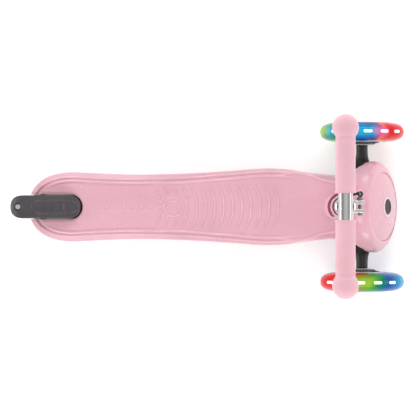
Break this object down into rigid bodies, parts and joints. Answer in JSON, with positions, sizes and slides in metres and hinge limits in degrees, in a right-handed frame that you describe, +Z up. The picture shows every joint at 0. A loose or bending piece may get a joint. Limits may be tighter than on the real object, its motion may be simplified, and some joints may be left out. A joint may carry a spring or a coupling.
{
  "type": "child's three-wheel kick scooter",
  "caption": "Child's three-wheel kick scooter with a moulded deck, lean-to-steer front truck, light-up front wheels, rear brake and telescopic T-bar.",
  "frame": {"origin": "on the ground, under the middle of the scooter's overall box", "axes": "+X forward, +Y to the rider's left, +Z up"},
  "size_m": [0.566, 0.2428, 0.675],
  "materials": {
    "pink_shell": "moulded satin",
    "pale_pink_plastic": "moulded, slightly glossy",
    "pink_tube": "powder coat",
    "pink_grip": "soft matte rubber",
    "raspberry_plastic": "moulded gloss",
    "charcoal_plastic": "fine moulded grain",
    "black_plastic": "fine moulded grain",
    "black_rubber": "matte",
    "bright_metal": "polished",
    "clamp_aluminium": "polished casting",
    "steel": "zinc plated",
    "bearing_steel": "ground",
    "lit_tyre": "clear cast polyurethane, lit from inside in several colours",
    "pale_tyre": "translucent cast polyurethane",
    "light_window": "translucent white, lit",
    "hub_plastic": "moulded gloss"
  },
  "bodies": {
    "deck": {"deck_board": "pink_shell", "deck_rail_left": "steel", "deck_rail_right": "steel", "nose_shell": "pink_shell", "nose_disc": "pink_shell", "lock_ring": "pale_pink_plastic", "truck_plate": "black_plastic", "kingpin": "steel", "kingpin_nut": "steel", "steer_spring_left": "black_rubber", "steer_spring_right": "black_rubber", "lock_spring": "steel", "rear_axle": "steel", "rear_axle_nut": "steel", "brake_pin": "steel", "brake_spring": "steel", "lower_stem_tube": "pink_tube", "stem_bolt": "steel", "stem_bolt_nut": "steel", "clamp_collar": "clamp_aluminium", "clamp_cap": "pink_shell", "clamp_bush": "black_plastic", "clamp_bolt": "steel", "clamp_nut": "steel", "clamp_pin": "steel", "clamp_washer": "steel", "wheel_guard": "black_plastic"},
    "truck": {"truck_beam": "black_plastic", "truck_bush_front": "charcoal_plastic", "truck_bush_rear": "charcoal_plastic", "front_axle_left": "steel", "front_axle_right": "steel"},
    "front_wheel_left": {"front_tyre_left": "lit_tyre", "light_ring_left": "light_window", "front_hub_left": "hub_plastic", "front_bearing_left_inner": "bearing_steel", "front_bearing_left_outer": "bearing_steel", "bearing_spacer_left": "bearing_steel", "hub_cap_left": "charcoal_plastic"},
    "front_wheel_right": {"front_tyre_right": "lit_tyre", "light_ring_right": "light_window", "front_hub_right": "hub_plastic", "front_bearing_right_inner": "bearing_steel", "front_bearing_right_outer": "bearing_steel", "bearing_spacer_right": "bearing_steel", "hub_cap_right": "charcoal_plastic"},
    "rear_wheel": {"rear_tyre": "pale_tyre", "rear_hub": "hub_plastic", "rear_bearing_left": "bearing_steel", "rear_bearing_right": "bearing_steel"},
    "brake": {"brake_lever": "charcoal_plastic", "brake_screw": "bright_metal", "brake_pad": "steel"},
    "lock": {"lock_button": "charcoal_plastic", "lock_plunger": "steel"},
    "quick_release": {"clamp_lever": "raspberry_plastic"},
    "tbar": {"upper_stem_tube": "bright_metal", "crossbar": "bright_metal", "grip_left": "pink_grip", "grip_right": "pink_grip"}
  },
  "joints": [
    {"name": "steer", "type": "hinge", "parent": "deck", "child": "truck", "pos_m": [0.2225, 0, 0.0605], "axis": [0.891, 0, 0.454], "range_deg": [-14, 14], "stiffness_Nm_per_rad": 45, "deforming": ["steer_spring_left", "steer_spring_right"]},
    {"name": "front_wheel_left_spin", "type": "hinge", "parent": "truck", "child": "front_wheel_left", "pos_m": [0.2225, 0.1077, 0.0605], "axis": [0, 1, 0], "continuous": true},
    {"name": "front_wheel_right_spin", "type": "hinge", "parent": "truck", "child": "front_wheel_right", "pos_m": [0.2225, -0.1077, 0.0605], "axis": [0, 1, 0], "continuous": true},
    {"name": "rear_wheel_spin", "type": "hinge", "parent": "deck", "child": "rear_wheel", "pos_m": [-0.238, 0, 0.04], "axis": [0, 1, 0], "continuous": true},
    {"name": "brake_press", "type": "hinge", "parent": "deck", "child": "brake", "pos_m": [-0.196, 0, 0.072], "axis": [0, -1, 0], "range_deg": [0, 4], "stiffness_Nm_per_rad": 3},
    {"name": "lock_press", "type": "slide", "parent": "deck", "child": "lock", "axis": [-0.891, 0, -0.454], "range_m": [0, 0.004], "stiffness_N_per_m": 400, "deforming": ["lock_spring"]},
    {"name": "height", "type": "slide", "parent": "deck", "child": "tbar", "axis": [-0.0349, 0, 0.9994], "range_m": [0, 0.1]},
    {"name": "quick_release_open", "type": "hinge", "parent": "deck", "child": "quick_release", "pos_m": [0.19681, 0.0163, 0.43082], "axis": [0.0349, 0, -0.9994], "range_deg": [0, 115]}
  ]
}
